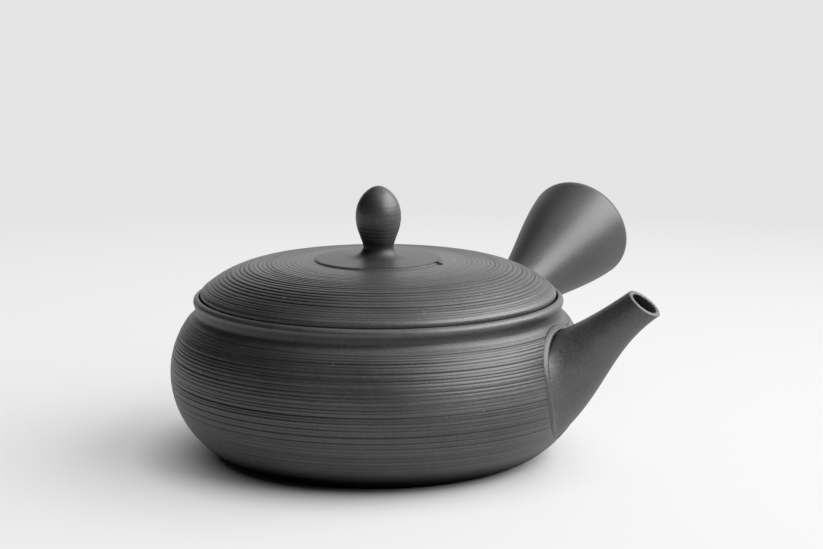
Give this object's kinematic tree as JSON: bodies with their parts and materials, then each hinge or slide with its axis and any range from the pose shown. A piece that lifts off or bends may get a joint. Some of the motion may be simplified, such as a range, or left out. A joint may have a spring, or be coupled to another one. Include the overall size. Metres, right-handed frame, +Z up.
{
  "type": "side-handled teapot",
  "caption": "Squat round stoneware teapot with a flared hollow side handle, short curved spout, inner strainer and a loose inset lid with a bud knob; brews and pours leaf tea.",
  "frame": {"origin": "middle of the flat foot, on the pot's turning axis", "axes": "+Z up along the turning axis, +X towards the spout, the handle at 80 degrees from +X towards +Y"},
  "size_m": [0.1391, 0.1796, 0.0748],
  "materials": {
    "clay": "unglazed, matt with a faint sheen, turned lines",
    "slip": "unglazed, smoothed with a wet brush"
  },
  "bodies": {
    "pot": {"body": "clay", "spout": "clay", "spout_slip": "slip", "strainer": "clay", "handle": "clay", "handle_slip": "slip"},
    "lid": {"lid": "clay", "knob": "clay"}
  },
  "joints": [
    {"name": "lid_lift", "type": "slide", "parent": "pot", "child": "lid", "axis": [0, 0, 1], "range_m": [0, 0.06]}
  ]
}
